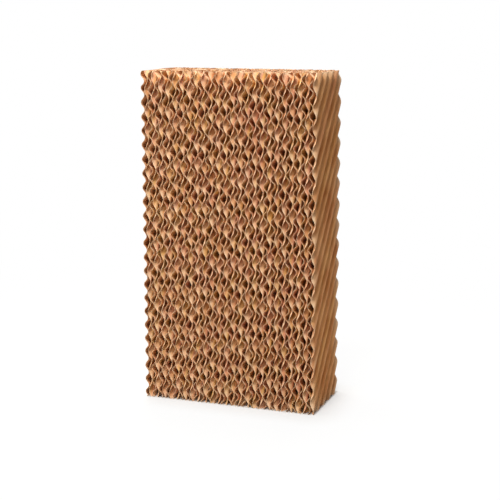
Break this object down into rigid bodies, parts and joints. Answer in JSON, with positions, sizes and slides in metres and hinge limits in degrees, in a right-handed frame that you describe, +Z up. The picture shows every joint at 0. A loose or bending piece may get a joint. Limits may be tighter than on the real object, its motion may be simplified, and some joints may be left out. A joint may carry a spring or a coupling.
{
  "type": "evaporative cooling pad",
  "caption": "Upright block of fluted kraft-paper sheets glued crest to crest with crossing flutes, through which air is drawn while water runs down and cools it.",
  "frame": {"origin": "middle of the lower saw-cut end, on the floor that the pad stands on", "axes": "+Z up the height, +Y along the depth from the air-entry face at -Y to the back, +X across the stacked sheets to the right"},
  "size_m": [0.3264, 0.15, 0.6],
  "materials": {
    "kraft_paper": "matte, resin-stiffened kraft paper"
  },
  "bodies": {
    "root": {"shallow_sheet_01": "kraft_paper", "steep_sheet_02": "kraft_paper", "shallow_sheet_03": "kraft_paper", "steep_sheet_04": "kraft_paper", "shallow_sheet_05": "kraft_paper", "steep_sheet_06": "kraft_paper", "shallow_sheet_07": "kraft_paper", "steep_sheet_08": "kraft_paper", "shallow_sheet_09": "kraft_paper", "steep_sheet_10": "kraft_paper", "shallow_sheet_11": "kraft_paper", "steep_sheet_12": "kraft_paper", "shallow_sheet_13": "kraft_paper", "steep_sheet_14": "kraft_paper", "shallow_sheet_15": "kraft_paper", "steep_sheet_16": "kraft_paper", "shallow_sheet_17": "kraft_paper", "steep_sheet_18": "kraft_paper", "shallow_sheet_19": "kraft_paper", "steep_sheet_20": "kraft_paper", "shallow_sheet_21": "kraft_paper", "steep_sheet_22": "kraft_paper", "shallow_sheet_23": "kraft_paper", "steep_sheet_24": "kraft_paper", "shallow_sheet_25": "kraft_paper", "steep_sheet_26": "kraft_paper", "shallow_sheet_27": "kraft_paper", "steep_sheet_28": "kraft_paper", "shallow_sheet_29": "kraft_paper", "steep_sheet_30": "kraft_paper", "shallow_sheet_31": "kraft_paper", "steep_sheet_32": "kraft_paper", "shallow_sheet_33": "kraft_paper", "steep_sheet_34": "kraft_paper", "shallow_sheet_35": "kraft_paper", "steep_sheet_36": "kraft_paper", "shallow_sheet_37": "kraft_paper", "steep_sheet_38": "kraft_paper", "shallow_sheet_39": "kraft_paper", "steep_sheet_40": "kraft_paper", "shallow_sheet_41": "kraft_paper", "steep_sheet_42": "kraft_paper", "shallow_sheet_43": "kraft_paper", "steep_sheet_44": "kraft_paper", "shallow_sheet_45": "kraft_paper", "steep_sheet_46": "kraft_paper", "shallow_sheet_47": "kraft_paper", "steep_sheet_48": "kraft_paper"}
  },
  "joints": []
}
